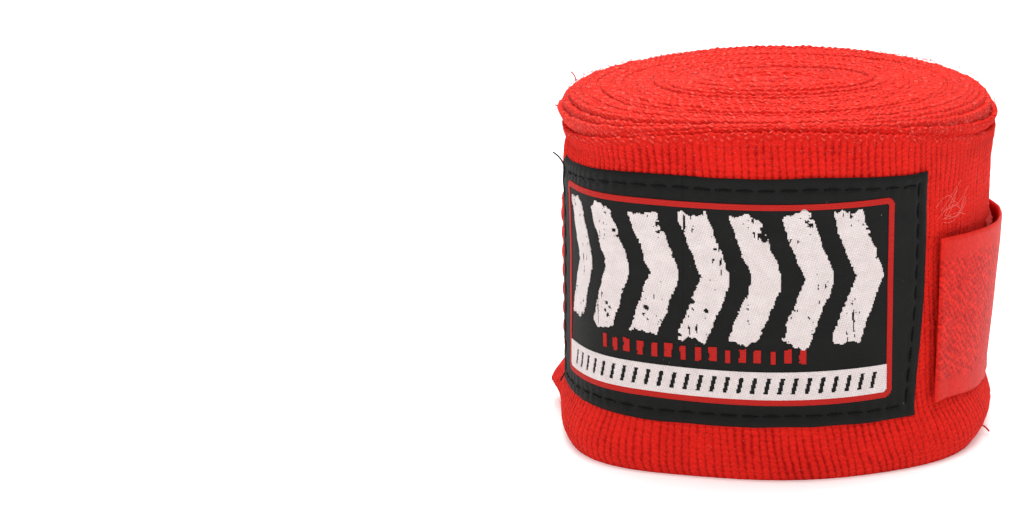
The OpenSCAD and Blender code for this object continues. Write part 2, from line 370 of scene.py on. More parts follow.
def inner_shift(winding):
    """Loose spots: extra inward room, mostly in front, for the turns inside two gaps."""
    inward = winding - HINGES[0]
    near_rim = RIM_GAP * ease(inward, 360, 500) * (0.3 + 0.7 * frontness(winding))
    half_way = HALF_WAY_GAP * ease(inward, 5400, 5600) * (0.25 + 0.75 * frontness(winding))
    return near_rim + half_way


def core_reach(radius):
    """Extra half length of a turn along X, which makes the turns near the core oval."""
    outward = (radius - CORE_RADIUS) / (TAIL_RADIUS - CORE_RADIUS)
    return CORE_REACH * np.clip(1 - outward, 0, 1) ** 1.3


def top_lift(winding, radius):
    """How far a turn's upper edge stands above the outermost one's, most of all in front."""
    inward = winding - HINGES[0]
    steps = SECOND_TURN_LIFT * ease(inward, 180, 330) + THIRD_TURN_LIFT * ease(inward, 540, 760)
    dome = DOME * smoothstep(1 - radius / TAIL_RADIUS)
    return (0.25 + 0.75 * frontness(winding)) * steps + dome * ease(inward, 360, 720)


def rim_drop(winding, z):
    """The outer turns' upper edges sink at the two sides, where the cloth above folds out over them.
    In front they ride up a little."""
    sink = RIM_DROP * sideness(winding) * ease(z, 43, 50)
    rise = FRONT_RISE * np.clip(np.cos(np.radians(winding)), 0, 1) ** 2 * ease(z, 38, 50)
    return (sink - rise) * np.exp(-np.maximum(turns_inward(winding) - 0.5, 0) / 1.9)


def lip(winding, z):
    """Outward fold of the inner turns' upper edges at the two sides."""
    turns = turns_inward(winding)
    uneven = 1 - 0.25 * np.sin(np.radians(winding))
    reach = LIP * uneven * sideness(winding) * ease(turns, 0.62, 0.97)
    return reach * ease(z, 45, 47.8) * np.exp(-np.maximum(turns - 1, 0) / 9)


def arc_from_tail(winding):
    """Arc length from the tape's outer end, so cords run on across pieces."""
    fine = np.linspace(TAIL_END, winding, 20000)
    return float(np.sum(np.radians(np.abs(np.diff(fine))) * path_radius(fine[1:])))


def tape_stations(start, end, step):
    """Even steps along the wound path: winding angles, and arc lengths from the tape's outer end."""
    fine = np.linspace(start, end, 40000)
    arc = np.concatenate([[0], np.cumsum(np.radians(np.abs(np.diff(fine))) * path_radius(fine[1:]))])
    along = np.linspace(0, arc[-1], int(arc[-1] / step) + 2)
    return np.interp(along, arc, fine)[:, None], (arc_from_tail(start) - along)[:, None]


def cord_lean(winding, s, rows):
    """How far the cords lean and wander along the tape, by height. They sweep at the right-hand foot."""
    lean = CORD_LEAN * rows + 0.34 * wave_noise(s * 0.16, rows * 0.10, 11)
    lean = lean + 0.15 * wave_noise(s * 1.3, rows * 0.25, 12)
    sweep = ease((winding + 180) % 360, 150, 210)
    lean = lean - 0.011 * np.maximum(0.0, 14 - rows) ** 2 * sweep
    return lean + 0.07 * wave_noise(s * 2.4, rows * 2.6, 14)


def cord_swell(s, rows, lean):
    """How far the cords stand off the tape's faces: worn in places, and flat towards the edges."""
    depth = CORD_DEPTH * (0.75 + 0.35 * wave_noise(s * 0.05, rows * 0.07, 17))
    depth = depth * (1 - 0.6 * ease(s, WORN_FROM, WORN_FROM + WORN_OVER))
    inside = smoothstep(np.minimum(rows, TAPE_WIDTH - rows) / 1.2)
    swell = depth * (cord_height(s + lean) - 0.6) * (0.30 + 0.70 * inside)
    return swell + 0.05 * wave_noise(s * 1.1, rows * 1.7, 13)


def tape_mesh(name, start, end, step, profile, material, ribs=True):
    """Length of tape from one winding angle to another, wound on the path, cords and all."""
    side, height, bulge = (loop[None, :] for loop in profile)
    winding, s = tape_stations(start, end, step)
    inward = winding - HINGES[0]
    rows = height * TAPE_WIDTH
    is_top = height > 0.5
    is_face = 1 - np.abs(bulge)
    lean = cord_lean(winding, s, rows)

    # Half thickness: cords on the faces, beads on the upper selvedge, scallops round both edges
    edge_s = s + CORD_LEAN * TAPE_WIDTH * is_top
    edge_cords = cord_height(edge_s)
    cord_index = np.floor(edge_s / CORD_PITCH).astype(int) % len(CORD_RISE)
    beads = edge_cords * (0.5 + 0.5 * CORD_RISE[(cord_index * 7) % len(CORD_RISE)])
    selvedge = ease(rows, TAPE_WIDTH - 1.6, TAPE_WIDTH - 0.4)
    swell = cord_swell(s, rows, lean) if ribs else 0.10 * (edge_cords - 0.6)
    thick = TAPE_THICK * (1 + 0.10 * wave_noise(s * 0.03, 0, 3))
    half = thick / 2 + swell * is_face + selvedge * (BEAD_SIZE * beads - 0.02)
    half = half + EDGE_SCALLOP * (edge_cords - 0.5) * (1 - is_face)

    # Heights: the upper edge is uneven, cord by cord and turn by turn
    loose = ease(inward, 300, 600)
    radius = path_radius(winding) - inner_shift(winding)
    lift = top_lift(winding, radius) * ease(inward, 0, 190)
    level = TAPE_LOW + rows + lift * (0.8 + 0.2 * height) - rim_drop(winding, rows)
    z = level + thick * (0.34 * bulge - 0.22 * np.sign(height - 0.5))
    edge = EDGE_UNEVEN * (edge_cords - 0.5) * (0.3 + CORD_RISE[cord_index])
    edge = edge + 0.10 * wave_noise(s * 2.2, 0, 19)
    edge = edge + (0.12 + 0.16 * loose) * wave_noise(s * 0.06, 0, 9)
    z = np.maximum(z + is_top * edge * ease(height, 0.8, 1), TAPE_LOW)

    # Place on the path: oval towards the core, whose upper edges are pinched shut
    wander = 0.13 * wave_noise(s * 0.045, 0, 5) * loose
    middle = radius + skin(winding, TAPE_LOW + rows) - thick / 2 + wander + lip(winding, level)
    angle = np.radians(winding)
    near_top = ease(rows, 41, 48)
    pinched = 1 - CORE_PINCH * near_top * hill(radius, CORE_RADIUS, 3.4)
    pinched = pinched + (1 - pinched) * np.abs(np.sin(angle)) ** 3
    puffed = 1 + CORE_PUFF * near_top * hill(radius, 6.3, 2.4)
    across = middle + side * half + core_reach(radius)
    depth = middle * pinched + side * half * puffed
    points = np.stack([across * np.sin(angle), -depth * np.cos(angle), z], -1)
    uv = np.stack([s + lean + 0 * z, rows + bulge * 0.6 + 0 * s], -1)
    faces = loft_faces(len(s), side.size)
    return make_object(name, points.reshape(-1, 3), faces, uv.reshape(-1, 2), material)


# ---------------------------------------------------------------- materials

WHITE = "#ffffff"
FLUFF_TINT = "#ff8c7d"
PILE_TINT = "#ff968c"


def linear_colour(code):
    """Linear colour, with full cover, from a #rrggbb display colour."""
    display = np.array([int(code[place:place + 2], 16) for place in (1, 3, 5)]) / 255
    linear = np.where(display <= 0.04045, display / 12.92, ((display + 0.055) / 1.055) ** 2.4)
    return (*linear.tolist(), 1.0)


class Signal:
    """A shader value that can be added to, taken from and multiplied by others."""

    def __init__(self, nodes, socket):
        self.nodes = nodes
        self.socket = socket

    def __add__(self, other):
        return self.nodes.math("ADD", self, other)

    def __sub__(self, other):
        return self.nodes.math("SUBTRACT", self, other)

    def __rsub__(self, other):
        return self.nodes.math("SUBTRACT", other, self)

    def __mul__(self, other):
        return self.nodes.math("MULTIPLY", self, other)

    def clamped(self):
        """The same value, held between 0 and 1."""
        self.socket.node.use_clamp = True
        return self


class Nodes:
    """Short way to wire a material's shader nodes. Noise spreads over self.place, the cloth map at first."""

    def __init__(self, name):
        self.material = bpy.data.materials.new(name)
        self.material.use_nodes = True
        self.tree = self.material.node_tree
        self.shader = self.tree.nodes["Principled BSDF"]
        self.place = self.add("ShaderNodeUVMap", uv_map="cloth").outputs[0]

    def add(self, kind, **settings):
        node = self.tree.nodes.new(kind)
        for key, value in settings.items():
            setattr(node, key, value)
        return node

    def link(self, source, target):
        self.tree.links.new(source, target)

    def feed(self, target, value):
        """Gives an input a signal, a colour or a number."""
        if isinstance(value, Signal):
            self.link(value.socket, target)
        elif isinstance(value, str):
            target.default_value = linear_colour(value)
        else:
            target.default_value = value

    def math(self, operation, a, b=0.0):
        node = self.add("ShaderNodeMath", operation=operation)
        self.feed(node.inputs[0], a)
        self.feed(node.inputs[1], b)
        return Signal(self, node.outputs[0])

    def cloth_map(self):
        """The cloth map's two millimetre coordinates, along and across."""
        split = self.add("ShaderNodeSeparateXYZ")
        self.link(self.place, split.inputs[0])
        return Signal(self, split.outputs[0]), Signal(self, split.outputs[1])

    def noise(self, scale, detail=3.0, roughness=0.55, place=None):
        node = self.add("ShaderNodeTexNoise")
        self.link(place or self.place, node.inputs["Vector"])
        self.feed(node.inputs["Scale"], scale)
        self.feed(node.inputs["Detail"], detail)
        self.feed(node.inputs["Roughness"], roughness)
        return Signal(self, node.outputs[0])

    def wave(self, coordinate, pitch):
        """Sine ripple in 0..1 along a millimetre coordinate."""
        return self.math("SINE", coordinate * (2 * math.pi / pitch)) * 0.5 + 0.5

    def mix(self, factor, low, high):
        """Blends from one colour to another."""
        node = self.add("ShaderNodeMix", data_type="RGBA")
        self.feed(node.inputs[0], factor)
        self.feed(node.inputs[6], low)
        self.feed(node.inputs[7], high)
        return Signal(self, node.outputs[2])

    def bump(self, height, strength, distance):
        node = self.add("ShaderNodeBump")
        self.feed(node.inputs["Strength"], strength)
        self.feed(node.inputs["Distance"], distance * MM)
        self.feed(node.inputs["Height"], height)
        self.link(node.outputs[0], self.shader.inputs["Normal"])

    def finish(self, colour, roughness, sheen=0.0, tint=WHITE, specular=0.3):
        surface = {"Base Color": colour, "Roughness": roughness, "Specular IOR Level": specular,
                   "Sheen Weight": sheen, "Sheen Roughness": 0.45, "Sheen Tint": tint}
        for socket, value in surface.items():
            self.feed(self.shader.inputs[socket], value)
        return self.material


def tape_material(name, knit_from, fuzz, light):
    """Elastic cotton tape: cords across its width, knitted stitches down each cord, fluff all over. Above a
    height the cords give way to the purl bumps of the selvedge. Painted shade darkens the grooves between the
    cords, the knit band on top is painted lighter, and the purl bumps carry painted highlights."""
    n = Nodes(name)
    along, across = n.cloth_map()
    groove = n.math("ABSOLUTE", n.math("SINE", along * (math.pi / CORD_PITCH)))
    chevron = n.math("ABSOLUTE", n.math("FRACT", along * (1 / CORD_PITCH)) - 0.5)
    wobble = n.noise(0.9, 2.0)
    stitch = n.wave(across + (chevron * 0.9 + wobble * 1.3), 0.80)
    fluff = n.noise(5.0, 5.0, 0.72)
    mottle = n.noise(1.25, 4.0, 0.7)
    breaks = n.noise(1.1, 3.0, 0.6)
    patches = n.noise(0.16)
    stretched = n.noise(0.10)
    knit = (across - knit_from).clamped()
    purl = n.wave(along + wobble * 0.9, CORD_PITCH) * n.wave(along * 0.5 + across, 0.9)
    purl = knit * (purl + (mottle - 0.5) * 1.9)
    n.bump(stitch * 0.8 + fluff * 1.2 + purl * 1.1, 0.85, 0.18)
    worn = ((along - WORN_FROM) * (1 / WORN_OVER)).clamped()
    # Painted shade: the grooves between the cords are painted darker, a little less where the cords are worn
    # shallow; breaks and stretched vary it at random.
    groove_shade = n.math("POWER", groove, 0.9) + (breaks - 0.42) * 1.5 + worn * 0.15
    groove_shade = (groove_shade + (stretched - 0.42) * 1.6).clamped()
    # Painted light: on the knit band at the top the groove shade gives way to a lighter level, as the tops
    # face the overhead lamp.
    groove_shade = groove_shade * (1.0 - knit) + knit * 0.86
    shade = groove_shade * (fluff * 0.8 + 0.5) + (patches - 0.5) * 0.5
    shade = (shade + (stitch - 0.5) * 0.22 + (purl - 0.1) * 0.30).clamped()
    # Painted highlight: glint lays a pale pink colour on the crests of the purl bumps.
    glint = ((purl - 0.5) * 0.8).clamped()
    body = n.mix(shade, "#a80908", light)
    colour = n.mix(glint, body, "#ff8070")
    return n.finish(colour, 0.88, sheen=fuzz, tint=FLUFF_TINT, specular=0.08)


def label_cloth_material():
    """Black damask label ground: fine weft lines, a faint warp, worn lighter patches, specks of lint."""
    n = Nodes("label_cloth")
    along, across = n.cloth_map()
    weft = n.wave(across, 0.30)
    warp = n.wave(along + across * 0.5, 0.42)
    grain = n.noise(7.0, 4.0, 0.65)
    worn = n.noise(0.22)
    lint = n.noise(2.6, 1.0, 0.4)
    n.bump(weft * 0.6 + warp * 0.35 + grain * 0.6, 0.55, 0.06)
    shade = ((weft + warp) * 0.22 + grain * 0.45 + (worn - 0.45) * 0.5).clamped()
    ground = n.mix(shade, "#040505", "#1d1e1c")
    speck = ((lint - 0.79) * 14.0).clamped()
    return n.finish(n.mix(speck, ground, "#78746e"), 0.72, specular=0.16)


def label_red_material():
    """Red floats of the label: short satin weft threads lying side by side."""
    n = Nodes("label_red")
    along, across = n.cloth_map()
    weft = n.wave(across, 0.26)
    warp = n.wave(along + across * 0.7, 0.55)
    grain = n.noise(5.0, 4.0, 0.6)
    n.bump(weft * 0.6 + warp * 0.4, 0.7, 0.06)
    shade = (weft * 0.35 + grain * 0.8).clamped()
    return n.finish(n.mix(shade, "#8c1412", "#ca2c26"), 0.65, specular=0.08)


def label_white_material():
    """White floats of the label: bound down in a staggered grid of small pits, soiled in places."""
    n = Nodes("label_white")
    along, across = n.cloth_map()
    sideways = (along + across * 0.55) * (2 * math.pi / 0.52)
    upward = (across - along * 0.45) * (2 * math.pi / 0.50)
    pits = n.math("SINE", sideways) * n.math("SINE", upward)
    grain = n.noise(4.0, 4.0, 0.65)
    soil = n.noise(0.5, 4.0, 0.6)
    n.bump(pits * 0.5 + grain * 0.5, 0.6, 0.07)
    shade = (pits * 0.22 + grain * 0.65 + soil * 0.55).clamped()
    colour = n.mix(shade, "#b0a09e", "#eee4e2")
    return n.finish(colour, 0.68, sheen=0.2, specular=0.2)


def thread_material(name, dark, light):
    """Twisted sewing thread."""
    n = Nodes(name)
    along, around = n.cloth_map()
    twist = n.wave(along + around * (0.5 / (2 * math.pi)), 0.5)
    relief = twist + n.noise(3.0)
    n.bump(relief, 0.7, 0.05)
    return n.finish(n.mix((relief * 0.6).clamped(), dark, light), 0.65, specular=0.10)


def webbing_material():
    """Back of the hook tape: small diagonal floats between smooth selvedges, slightly glossy. The floats are
    painted as light streaks, a painted highlight on their relief, and the sinks of the weave as painted
    shade.
    """
    n = Nodes("hook_strip_webbing")
    along, across = n.cloth_map()
    drift = n.noise(0.45, 2.0)
    slant = n.wave(along * 0.80 + across * -0.60 + drift * 0.8, WEAVE_PITCH)
    cross = n.wave(along * 0.35 + across * 0.93 - drift * 0.6, WEAVE_PITCH)
    from_edge = n.math("MINIMUM", across, (STRIP_HIGH - STRIP_LOW) - across)
    inside = ((from_edge - (STRIP_MARGIN - 0.6)) * 0.8).clamped()
    # Painted shade: the sinks where the weave dips are painted darker.
    shaded_sinks = slant * cross * inside
    # Painted highlight: stretched diagonal streaks over the field, painted lighter and darker as if light
    # caught the floats.
    drawn = n.add("ShaderNodeCombineXYZ")
    n.feed(drawn.inputs[0], (along + across) * 0.42)
    n.feed(drawn.inputs[1], (along - across) * 1.25)
    floats = n.noise(1.0, 3.0, 0.65, place=drawn.outputs[0])
    grain = n.noise(2.2, 4.0, 0.7)
    soft = n.noise(0.25)
    n.bump(floats * 2.0 - shaded_sinks * 0.6 + grain * 0.6, 0.65, 0.10)
    shade = (grain - 0.5) * 1.2 + 0.5 - shaded_sinks * 0.40
    shade = (shade + (floats - 0.5) * 2.6 * inside + (soft - 0.3) * 0.6).clamped()
    return n.finish(n.mix(shade, "#9e0806", "#e8281a"), 0.55, specular=0.12)


def hook_material():
    """Moulded nylon hooks."""
    n = Nodes("hooks")
    grain = n.noise(2.0)
    n.bump(grain, 0.4, 0.05)
    return n.finish(n.mix(grain, "#be342e", "#e86e62"), 0.34, specular=0.5)


def pile_material():
    """Brushed loop pile."""
    n = Nodes("loop_pile")
    along, across = n.cloth_map()
    grain = n.noise(3.0, 5.0, 0.7)
    n.bump(grain + n.wave(along + across, 0.8) * 0.5, 0.8, 0.12)
    colour = n.mix(grain, "#960c0c", "#de2822")
    return n.finish(colour, 0.9, sheen=0.4, tint=PILE_TINT, specular=0.15)


def loop_tape_material():
    """Plain-woven narrow tape of the thumb loop."""
    n = Nodes("thumb_loop_tape")
    along, across = n.cloth_map()
    weave = n.wave(along, 0.7) * n.wave(across, 0.7)
    grain = n.noise(4.0, 4.0, 0.65)
    n.bump(weave + grain, 0.7, 0.1)
    shade = (weave * 0.5 + grain * 0.7).clamped()
    colour = n.mix(shade, "#8c0c0c", "#e0241e")
    return n.finish(colour, 0.85, sheen=0.3, tint=PILE_TINT, specular=0.15)


def fibre_material(name, dark, light):
    """Loose cotton fibres."""
    n = Nodes(name)
    grain = n.noise(1.5, 2.0)
    n.bump(grain, 0.2, 0.02)
    return n.finish(n.mix(grain, dark, light), 0.7, sheen=0.3, specular=0.2)


# ---------------------------------------------------------------- stage

FLOOR_SPAN = 40
FLOOR_GLOW = {"From Min": 0.15, "From Max": 0.6, "To Min": 0.24, "To Max": 1.0}
FLOOR_SHADES = (0.90, 0.90, 0.90, 1), (0.93, 0.93, 0.93, 1)


def make_stage():
    """Pale floor that glows more with distance, so that it meets the white sky without a line."""
    centre = (cad_low + cad_high) / 2
    span = FLOOR_SPAN * (cad_high - cad_low).length
    square = ((-1, -1), (1, -1), (1, 1), (-1, 1))
    corners = [(centre.x + x * span, centre.y + y * span, cad_low.z) for x, y in square]
    mesh = bpy.data.meshes.new("floor")
    mesh.from_pydata(corners, [], [(0, 1, 2, 3)])
    floor = bpy.data.objects.new("floor", mesh)
    bpy.context.scene.collection.objects.link(floor)
    n = Nodes("floor")
    n.place = n.add("ShaderNodeTexCoord").outputs["Object"]
    distance = n.add("ShaderNodeVectorMath", operation="LENGTH")
    n.link(n.place, distance.inputs[0])
    glow = n.add("ShaderNodeMapRange", interpolation_type="SMOOTHSTEP")
    n.link(distance.outputs["Value"], glow.inputs["Value"])
    for socket, value in FLOOR_GLOW.items():
        glow.inputs[socket].default_value = value
    n.feed(n.shader.inputs["Emission Color"], WHITE)
    n.link(glow.outputs["Result"], n.shader.inputs["Emission Strength"])
    mesh.materials.append(n.finish(n.mix(n.noise(3.0), *FLOOR_SHADES), 0.6))


def add_light(name, offset, size, power):
    """Square area light that looks at the roll's middle from an offset in metres."""
    data = bpy.data.lights.new(name, "AREA")
    data.size = size
    data.energy = power
    light = bpy.data.objects.new(name, data)
    light.location = (cad_low + cad_high) / 2 + Vector(offset)
    light.rotation_euler = (-Vector(offset)).to_track_quat("-Z", "Y").to_euler()
    bpy.context.scene.collection.objects.link(light)


SKY_LIGHT = 0.38


def make_lights():
    """Soft, nearly even light from above and in front. The sky looks white but lights the roll gently."""
    add_light("overhead", (0.05, 0.15, 0.95), 0.8, 11.5)
    add_light("key", (-0.25, -0.65, 0.60), 0.6, 2.2)
    add_light("right", (0.7, -0.10, 0.35), 0.4, 0.4)
    add_light("back", (-0.1, 0.7, 0.5), 0.7, 2.0)
    world = bpy.data.worlds.new("studio")
    world.use_nodes = True
    tree = world.node_tree
    background = tree.nodes["Background"]
    background.inputs["Color"].default_value = linear_colour(WHITE)
    seen = tree.nodes.new("ShaderNodeLightPath").outputs["Is Camera Ray"]
    strength = tree.nodes.new("ShaderNodeMapRange")
    strength.inputs["To Min"].default_value = SKY_LIGHT
    strength.inputs["To Max"].default_value = 1.0
    tree.links.new(seen, strength.inputs["Value"])
    tree.links.new(strength.outputs["Result"], background.inputs["Strength"])
    bpy.context.scene.world = world
    bpy.context.scene.view_settings.view_transform = "Standard"


VIEW_DISTANCE = 371.0
VIEW_ELEVATION = 16.27
VIEW_ASIDE = 6.46
VIEW_ROLL = -1.58
VIEW_LENS = 85.0
SENSOR_WIDTH = 36.0


def make_camera():
    """Camera in front of the roll, aimed to its left so that the roll stands right of the centre."""
    middle = Vector((0, 0, (TAPE_LOW + TAPE_HIGH) / 2 * MM))
    elevation, aside, roll = (math.radians(v) for v in (VIEW_ELEVATION, VIEW_ASIDE, VIEW_ROLL))
    place = middle + VIEW_DISTANCE * MM * Vector((0, -math.cos(elevation), math.sin(elevation)))
    forward = Matrix.Rotation(aside, 3, "Z") @ (middle - place).normalized()
    right = forward.cross(Vector((0, 0, 1))).normalized()
    up = right.cross(forward)
    tilt = Matrix.Rotation(-roll, 3, forward)
    right, up = tilt @ right, tilt @ up
    data = bpy.data.cameras.new("camera")
    data.lens = VIEW_LENS
    data.sensor_width = SENSOR_WIDTH
    data.clip_start = 0.01
    camera = bpy.data.objects.new("camera", data)
    camera.matrix_world = Matrix.Translation(place) @ Matrix((right, up, -forward)).transposed().to_4x4()
    bpy.context.scene.collection.objects.link(camera)
    bpy.context.scene.camera = camera


# ---------------------------------------------------------------- assembly

def hinge_point(winding):
    return Vector(wrap_points(winding, TAIL_RADIUS, TAPE_WIDTH / 2).tolist()) * MM


def bend_between(piece, joint, start, end):
    """Works out the hinge points at two winding angles, which nothing uses, and bakes the piece's transform
    into its mesh; the piece is not bent. The joint is not used.
    """
    hinge_point(start)
    hinge_point(end)
    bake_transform(piece)


# The visible tape is cut into zones, one for each joint, at winding angles between the hinges
ROOT_ZONE = 95.0
ZONE_EDGES = [ROOT_ZONE] + [(a + b) / 2 for a, b in zip(HINGES, HINGES[1:])]
ZONE_MARGIN = 1.5
COARSE_STEP = 0.29
FINE_STEP = 0.18


def dress(piece, joint, slot, *nodes):
    """Hides the frame nodes that a piece stands for. It is parented to the wound roll where joint is None;
    otherwise bend_between bakes its transform across one joint's zone without bending it. The slot is not
    used."""
    if joint is None:
        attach(piece, "roll")
    else:
        start, end = ZONE_EDGES[joint:joint + 2]
        bend_between(piece, joint, start - ZONE_MARGIN, end + ZONE_MARGIN)
    if nodes:
        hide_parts(*nodes)


def build_tape():
    material = tape_material("tape", TAPE_WIDTH - 1.4, 0.10, "#ec261c")
    # Painted light: tape_edges is a lighter copy of the tape for the wound turns, whose upper edges face the
    # overhead lamp.
    edges = tape_material("tape_edges", TAPE_WIDTH - 6, 0.40, "#ff3026")
    coarse = band_profile([0, 0.12, 0.25, 0.5, 0.8, 0.88, 0.91, 0.94, 0.97, 1], [0, 0.5, 0.88, 0.94, 1], 5)
    fine = band_profile(np.linspace(0, 1, 56), np.linspace(0, 1, 28), 5)
    full_turn = ROOT_ZONE + 360
    core = HINGES[0] + 360 * TURNS
    inner = tape_mesh("wound_turns", core, full_turn, COARSE_STEP, coarse, edges, ribs=False)
    dress(inner, None, "tape", "tape_roll")
    dress(tape_mesh("outer_turn", full_turn, ROOT_ZONE, FINE_STEP, fine, material), None, "tape")
    for joint in range(3):
        start, end = ZONE_EDGES[joint:joint + 2]
        piece = tape_mesh(f"tape_bend_{joint + 1}", start, end, FINE_STEP, fine, material)
        dress(piece, joint, "tape", f"tape_tail_{joint + 1}")
    last = tape_mesh("tape_end", ZONE_EDGES[3], TAIL_END, FINE_STEP, fine, material)
    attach(last, "tail_3")


def zone_span(joint, start, end):
    """The part of a span of winding angles that lies in one joint's zone."""
    return min(start, ZONE_EDGES[joint]), max(end, ZONE_EDGES[joint + 1])


def tape_face(winding, z):
    """Outer face of the tape, at the crests of its cords."""
    return path_radius(winding) + skin(winding, z) + 0.4 * CORD_DEPTH


# ---- label

LABEL_THICK = 0.42
LABEL_LEAN = 3.2
LABEL_SAG = 1.3
STITCH_INSET = 1.7
STITCH_PITCH = 3.0
STITCH_LENGTH = 2.2
STITCH_RISE = 0.12
SEAM_RADIUS = 0.17
SEAM_SIDES = 7
THREAD_SINK = 0.10
THREAD_RAISE = 0.10
CELL = 0.17
MESH_STEP = 0.28
FRAME_LINE = 0.85
FRAME_CORNER = 1.5
BAR_HEIGHT = 4.1
TICKS = dict(pitch=1.9, width=0.62, reach=0.58, slant=0.45, margin=4)
DASH_ROW = dict(start=8.0, end=-45.0, pitch=2.1, length=0.95, gap=1.3, height=2.0)
CHEVRONS = dict(count=7, height=18.9, stroke=4.3, point=3.6, gap=0.8, inset=0.7)


def label_start(z):
    """The label's leading edge leans back towards its foot."""
    part = (z - LABEL_LOW) / (LABEL_HIGH - LABEL_LOW)
    return LABEL_START + 1.0 - LABEL_LEAN * ease(part, 0.55, -0.05) + 0.2 * np.sin(9 * part + 1)


def label_drop(winding):
    """How far the label's trailing end hangs below a level line."""
    return -LABEL_SAG * ease(winding, -28, -74)


def label_edges(winding):
    """Heights of the label's lower and upper edges. The upper one falls towards both ends."""
    low = LABEL_LOW + 0.22 * wave_noise(winding * 0.09, 0, 51)
    high = LABEL_HIGH + 0.22 * wave_noise(winding * 0.08, 0, 52)
    return low, high - 1.2 * ease(winding, -32, -74) - 0.9 * ease(winding, 8, 40)


def label_inset(winding, z):
    """Distance in from the nearest edge of the label."""
    low, high = label_edges(winding)
    side = arc_mm(np.minimum(label_start(z) - winding, winding - LABEL_END))
    return np.minimum(np.minimum(z - low, high - z), side)


def label_face(winding, z):
    """Outer face of the label cloth, puckered along its stitching."""
    inset = label_inset(winding, z)
    puckers = 0.06 * np.sin(winding * 2.1) + 0.05 * np.sin(z * 2.1)
    relief = puckers * hill(inset, STITCH_INSET, 1.4) - 0.13 * hill(inset, STITCH_INSET, 0.55)
    slow = 0.10 * wave_noise(np.radians(winding) * 4, z * 0.12, 53)
    return tape_face(winding, z) + LABEL_THICK + 0.06 + relief + slow


def label_piece(name, joint, material):
    start, end = zone_span(joint, LABEL_START + 2, LABEL_END)
    columns, rows = int(arc_mm(start - end) / MESH_STEP), int((LABEL_HIGH - LABEL_LOW) / MESH_STEP)
    part, level = grid(np.linspace(0, 1, columns), np.linspace(0, 1, rows))
    first = label_start(LABEL_LOW + level * (LABEL_HIGH - LABEL_LOW)) if joint == 1 else start
    winding = first + part * (end - first)
    low, high = label_edges(winding)
    z = low + level * (high - low)
    thick = LABEL_THICK * (0.35 + 0.65 * ease(label_inset(winding, z), 0, 0.5))
    outer = label_face(winding, z) - (LABEL_THICK - thick)
    uv = cloth_uv(winding, z)
    return closed_sheet(name, winding, z + label_drop(winding), outer, outer - thick, uv, material)


def ragged(angle, z, seed):
    """Uneven thread ends, in millimetres."""
    x = arc_mm(angle)
    return 0.17 * wave_noise(x * 1.6, z * 1.2, seed) + 0.13 * wave_noise(x * 5.0, z * 4.0, seed + 1)


def outside_frame(angle, z):
    """Distance outside the frame's rounded rectangle, negative inside it."""
    half_x, half_z = arc_mm(FRAME_START - FRAME_END) / 2, (FRAME_HIGH - FRAME_LOW) / 2
    x = np.abs(arc_mm(angle - (FRAME_START + FRAME_END) / 2)) - (half_x - FRAME_CORNER)
    y = np.abs(z - (FRAME_LOW + FRAME_HIGH) / 2) - (half_z - FRAME_CORNER)
    return np.hypot(np.maximum(x, 0), np.maximum(y, 0)) + np.minimum(np.maximum(x, y), 0) - FRAME_CORNER


def dash_mask(angle, z):
    """Row of short dashes above the bar, each a little different."""
    base = FRAME_LOW + FRAME_LINE + BAR_HEIGHT + DASH_ROW["gap"]
    x = arc_mm(DASH_ROW["start"] - angle)
    number = np.floor(x / DASH_ROW["pitch"])
    along = x - number * DASH_ROW["pitch"]
    uneven = 0.12 * np.sin(number * 2.3) + 0.5 * ragged(angle, z, 63)
    inside = (along > 0.05 - uneven * 0.5) & (along < DASH_ROW["length"] + uneven)
    inside &= (z > base + uneven * 0.6) & (z < base + DASH_ROW["height"] + uneven)
    return inside & (angle < DASH_ROW["start"]) & (angle > DASH_ROW["end"])


def red_mask(angle, z):
    outside = outside_frame(angle, z)
    return ((outside < 0) & (outside > -FRAME_LINE)) | dash_mask(angle, z)


def bar_mask(angle, z):
    """White bar along the foot of the frame, broken by a row of slanted ticks."""
    low = FRAME_LOW + FRAME_LINE
    rise = (z - low) / (BAR_HEIGHT / 2) - 1
    along = (arc_mm(angle) - TICKS["slant"] * rise) / TICKS["pitch"]
    from_tick = np.abs(along % 1.0 - 0.5) * TICKS["pitch"]
    ticks = (from_tick < TICKS["width"] / 2) & (np.abs(rise) < TICKS["reach"])
    ticks &= (angle < FRAME_START - TICKS["margin"]) & (angle > FRAME_END + TICKS["margin"])
    return (outside_frame(angle, z) < -FRAME_LINE - 0.05) & (z < low + BAR_HEIGHT) & ~ticks


